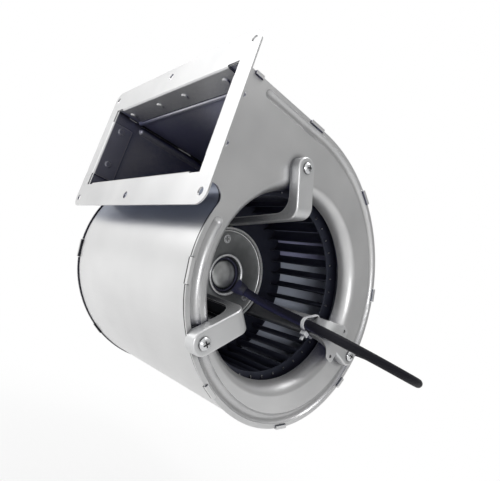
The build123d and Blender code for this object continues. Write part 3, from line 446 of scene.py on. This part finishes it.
def turned(profile, steps=112, second=()):
    """A closed profile of places and radii, turned about the motor's axis.

    The runs named in second take the piece's second material.
    """
    mesh = bmesh.new()
    rings = []
    for step in range(steps):
        angle = 2 * pi * step / steps
        rings.append(
            [mesh.verts.new((x, axis_y + r * cos(angle), axis_z + r * sin(angle))) for x, r in profile]
        )
    for ring, following in zip(rings, rings[1:] + rings[:1]):
        for j in range(len(profile)):
            k = (j + 1) % len(profile)
            if profile[j][1] > 0 or profile[k][1] > 0:
                face = mesh.faces.new((ring[j], following[j], following[k], ring[k]))
                face.material_index = int(j in second)
    bmesh.ops.remove_doubles(mesh, verts=mesh.verts[:], dist=same_place)
    bmesh.ops.recalc_face_normals(mesh, faces=mesh.faces[:])
    return mesh


def piece_from(mesh, name, material, body, angle=40.0):
    """A bmesh as an object that rides on a body, with smooth shading up to an angle between faces."""
    data = bpy.data.meshes.new(name)
    mesh.to_mesh(data)
    mesh.free()
    data.materials.append(material)
    data.shade_smooth()
    data.set_sharp_from_angle(angle=radians(angle))
    piece = bpy.data.objects.new(name, data)
    bpy.context.scene.collection.objects.link(piece)
    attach(piece, body)
    return piece


# the cast skin's bright edges are partly rubbed and partly painted highlight
cast_skin = finish_of(
    "cast_skin", cast_light, cast_dark, cast_bright, metallic=0.7, smooth=0.34, rough=0.50, fineness=1400.0,
    patch_size=70.0, wear_and_highlight_width=0.0008, bump=0.1, bump_depth=0.0003, shade_onset=0.3, shade_full=0.1,
)
turned_metal_and_highlight = finish_of(
    "turned_metal_and_highlight", cast_bright, pale_grey, pale_grey, metallic=0.6, smooth=0.26, rough=0.34, fineness=1400.0,
    patch_size=70.0, bump=0.02, shade_onset=0.1, shade_full=0.0,
)
disc = turned(flange_profile, second=machined_and_highlighted)
motor_end = piece_from(disc, "motor_end", cast_skin, "housing")
motor_end.data.materials.append(turned_metal_and_highlight)
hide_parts("motor_flange")

# Hub cap: a low polished shell with a rounded edge, pressed on the end of the bearing tube and clear of the
# shaft. Its polish has gone cloudy in patches.
cap_profile = (  # along the axis, radius
    (0.0099, 0.0), (0.0116, 0.0), (0.0115, 0.0040), (0.0112, 0.0075), (0.0107, 0.0100),
    (0.0102, 0.0117), (0.0096, 0.0126), (0.0090, 0.0130), (0.0090, 0.0109), (0.0096, 0.0096),
)
cap_steps = 72
cap_light = (0.66, 0.67, 0.67, 1)
cap_dark = (0.34, 0.35, 0.35, 1)

cap_polish = finish_of(
    "cap_polish", cap_light, cap_dark, pale_grey, metallic=0.85, smooth=0.28, rough=0.32, patch_size=75.0,
    wear_and_highlight=0.4, bump=0.0, shade_onset=0.1, shade_full=0.0,
)
cap = piece_from(turned(cap_profile, cap_steps), "polished_cap", cap_polish, "housing")
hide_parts("hub_cap")

# Motor inside: lacquered windings on a stack of sheets, ground bearings and shaft, and a rotor bell painted
# black on the outside.
core_light = (0.30, 0.30, 0.32, 1)
core_dark = (0.18, 0.18, 0.19, 1)
wire_light = (0.55, 0.25, 0.12, 1)
wire_dark = (0.38, 0.15, 0.07, 1)
wire_worn = (0.8, 0.45, 0.25, 1)
ground_light = (0.62, 0.63, 0.65, 1)
ground_dark = (0.5, 0.51, 0.53, 1)
paint_light = (0.035, 0.036, 0.04, 1)
paint_dark = (0.022, 0.022, 0.025, 1)
paint_worn = (0.2, 0.2, 0.21, 1)

core_steel = finish_of(
    "core_steel", core_light, core_dark, zinc_light, metallic=0.7, smooth=0.4, rough=0.6,
    stretch=(12.0, 1.0, 1.0), fineness=160.0,
)
copper_wire = finish_of(
    "copper_wire", wire_light, wire_dark, wire_worn, metallic=0.7, smooth=0.3, rough=0.5, fineness=700.0,
    bump=0.3,
)
ground_steel = finish_of(
    "ground_steel", ground_light, ground_dark, pale_grey, metallic=1.0, smooth=0.15, rough=0.25,
    patch_size=100.0,
)
bell_paint = finish_of(
    "bell_paint", paint_light, paint_dark, paint_worn, metallic=0.0, smooth=0.35, rough=0.5, fineness=1200.0,
    wear_and_highlight=0.5, bump=0.2, bump_depth=0.0003,
)
dress(core_steel, "stator_core", "rotor_core")
dress(copper_wire, "stator_windings")
dress(ground_steel, "bearing_near", "bearing_far", "shaft")
dress(bell_paint, "rotor_bell", angle=25.0)

# Impeller: blades rolled from thin galvanised strip, held by a ring at each end and the disc in the middle.
# Their colours are painted near black as shade, darker than the housing, with painted shade in their hollows.
# painted shade: the blades' own colours, near black
shaded_blade_light = (0.062, 0.068, 0.096, 1)
shaded_blade_dark = (0.042, 0.047, 0.068, 1)
shaded_blade_edge = (0.12, 0.13, 0.165, 1)
blade_shade = (0.013, 0.014, 0.029, 1)

shaded_blade_sheet = finish_of(
    "shaded_blade_sheet", shaded_blade_light, shaded_blade_dark, shaded_blade_edge, metallic=0.3, smooth=0.45, rough=0.55,
    patch_size=90.0, wear_and_highlight=0.5, wear_and_highlight_width=0.0003, shade_colour=blade_shade, shade_onset=0.5, shade_full=0.12,
)
dress(shaded_blade_sheet, "impeller_disc", "blades_near", "blades_far", "end_ring_near", "end_ring_far")

# Ends of the blades: each blade's tab comes through the end ring and is bent over on its face, which leaves a
# circle of small bright steps round each inlet.
blade_count = 38
tab_turn = 0.12  # share of the blades' pitch
tab_circle = 0.0705
tab_size = (0.0008, 0.0022, 0.0014)  # proud of the ring, along the radius, across
tab_edge = 0.0003
ring_face = 0.070


def bevelled_box(mesh, size, matrix, bevel):
    """Adds a box with rounded edges to a bmesh."""
    made = bmesh.ops.create_cube(mesh, size=1.0, matrix=matrix @ Matrix.Diagonal((*size, 1)))
    edges = {edge for vertex in made["verts"] for edge in vertex.link_edges}
    bmesh.ops.bevel(mesh, geom=list(edges), offset=bevel, segments=2, profile=0.5, affect="EDGES")


axis = Matrix.Translation((0, axis_y, axis_z))
for side, name in ((1, "blade_tabs_near"), (-1, "blade_tabs_far")):
    mesh = bmesh.new()
    seat = Matrix.Translation((side * (ring_face + tab_size[0] / 2), tab_circle, 0))
    for number in range(blade_count):
        turn = Matrix.Rotation(2 * pi * (number + tab_turn) / blade_count, 4, "X")
        bevelled_box(mesh, tab_size, axis @ turn @ seat, tab_edge)
    piece_from(mesh, name, screw_zinc, "impeller")

# Cable gland: a black rubber ring in the recess round the cap, and a tapered boot on the lip that grips the
# lead as it slants out to the lower right arm. The boot is cut off where it meets the lip and the cap.
lead_route = (
    (0.0220, 0.1238, -0.0874),
    (0.0335, 0.1319, -0.0914),
    (0.0510, 0.1375, -0.0946),
    (0.0735, 0.1408, -0.0977),
    (0.1045, 0.1436, -0.1023),
    (0.1270, 0.1740, -0.1087),
    (0.1430, 0.2120, -0.1155),
    (0.1341, 0.2417, -0.1166),
    (0.1085, 0.2589, -0.1133),
    (0.0790, 0.2570, -0.1075),
    (0.0500, 0.2470, -0.1060),
    (0.0260, 0.2380, -0.1220),
    (0.0150, 0.2335, -0.1380),
    (0.0110, 0.2315, -0.1560),
)
gland_profile = (  # along the axis, radius
    (0.0091, 0.0131), (0.0108, 0.0132), (0.0114, 0.0136), (0.0114, 0.0144), (0.0110, 0.0150),
    (0.0091, 0.01505),
)
gland_steps = 72
boot_length = 0.017
boot_rings = (  # share of the boot's length, radius
    (0.0, 0.0078), (0.9, 0.0049), (0.97, 0.00465), (1.0, 0.0042), (1.0, 0.0038),
)
boot_sides = 40
boot_inside = 0.0142  # from the motor's axis
boot_foot = 0.0136  # along the axis
rubber_light = (0.020, 0.020, 0.024, 1)
rubber_dark = (0.012, 0.012, 0.015, 1)
rubber_worn = (0.05, 0.05, 0.055, 1)

rubber_black = finish_of(
    "rubber_black", rubber_light, rubber_dark, rubber_worn, metallic=0.0, smooth=0.5, rough=0.7,
    fineness=1600.0, wear_and_highlight=0.4, bump=0.2, bump_depth=0.0003,
)
tip = Vector(lead_route[0])
slant = (Vector(lead_route[1]) - tip).normalized()
upright = slant.to_track_quat("Z", "Y").to_matrix()
boot = bmesh.new()
rings = []
for share, radius in boot_rings:
    middle = tip + slant * boot_length * (share - 1)
    ring = []
    for k in range(boot_sides):
        angle = 2 * pi * k / boot_sides
        ring.append(boot.verts.new(middle + upright @ Vector((cos(angle), sin(angle), 0)) * radius))
    rings.append(ring)
for ring, above in zip(rings, rings[1:]):
    for k in range(boot_sides):
        following = (k + 1) % boot_sides
        boot.faces.new((ring[k], ring[following], above[following], above[k]))
boot.faces.new(rings[0][::-1])
boot.faces.new(rings[-1])
outwards = Vector((0, tip.y - axis_y, tip.z - axis_z)).normalized()
for place, side in (
    (Vector((boot_foot, 0, 0)), Vector((1, 0, 0))),
    (Vector((0, axis_y, axis_z)) + outwards * boot_inside, outwards),
):
    whole = boot.verts[:] + boot.edges[:] + boot.faces[:]
    cut = bmesh.ops.bisect_plane(boot, geom=whole, plane_co=place, plane_no=side, clear_inner=True)
    rim = [item for item in cut["geom_cut"] if isinstance(item, bmesh.types.BMEdge)]
    bmesh.ops.contextual_create(boot, geom=rim)
bmesh.ops.recalc_face_normals(boot, faces=boot.faces[:])
boot_data = bpy.data.meshes.new("boot")
boot.to_mesh(boot_data)
boot.free()
mesh = turned(gland_profile, gland_steps)
mesh.from_mesh(boot_data)
gland = piece_from(mesh, "gland_and_boot", rubber_black, "housing")
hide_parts("cable_gland")

# Lead: a round sheathed cable that leaves the gland, lies along the inside of the lower right arm, is tied to
# it, turns away past the arm's foot, comes back behind the housing and hangs down to its four stripped cores.
lead_radius = 0.00375
section_steps = 6  # on each side of the round section
run_steps = 16  # between two points of the route
sheath_gloss = 0.18
sheath_light = (0.008, 0.008, 0.013, 1)
sheath_dark = (0.005, 0.005, 0.009, 1)
sheath_worn = (0.02, 0.02, 0.026, 1)
core_brown = (0.17, 0.10, 0.065, 1)
core_shade = (0.11, 0.065, 0.045, 1)
core_worn = (0.3, 0.2, 0.14, 1)

core_skin = finish_of(
    "core_skin", core_brown, core_shade, core_worn, metallic=0.0, smooth=0.35, rough=0.5, fineness=1500.0,
    wear_and_highlight=0.3, bump=0.1,
)
dress(core_skin, "cable_cores")
sheath_black = finish_of(
    "sheath_black", sheath_light, sheath_dark, sheath_worn, metallic=0.0, smooth=0.52, rough=0.62,
    fineness=1500.0, wear_and_highlight=0.2, bump=0.08, bump_depth=0.0002,
)
sheath_black.node_tree.nodes["Principled BSDF"].inputs["Specular IOR Level"].default_value = sheath_gloss
lead_curve = bpy.data.curves.new("lead", "CURVE")
lead_curve.dimensions = "3D"
lead_curve.bevel_depth = lead_radius
lead_curve.bevel_resolution = section_steps
lead_curve.resolution_u = run_steps
lead_curve.use_fill_caps = True
line = lead_curve.splines.new("NURBS")
line.points.add(len(lead_route) - 1)
for point, spot in zip(line.points, lead_route):
    point.co = (*spot, 1)
line.order_u = 3
line.use_endpoint_u = True
lead_curve.materials.append(sheath_black)
lead = bpy.data.objects.new("lead", lead_curve)
bpy.context.scene.collection.objects.link(lead)
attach(lead, "housing")
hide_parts("cable")

# Cable tie: a narrow natural nylon band pulled tight round the lead and the arm's leg, with its lock at the
# leg's edge.
tie_light = (0.80, 0.81, 0.82, 1)
tie_dark = (0.70, 0.71, 0.73, 1)
tie_worn = (0.88, 0.89, 0.90, 1)

tie_nylon = finish_of(
    "tie_nylon", tie_light, tie_dark, tie_worn, metallic=0.0, smooth=0.4, rough=0.55, fineness=1300.0,
    wear_and_highlight=0.3, bump=0.1,
)
dress(tie_nylon, "cable_tie", angle=25.0)
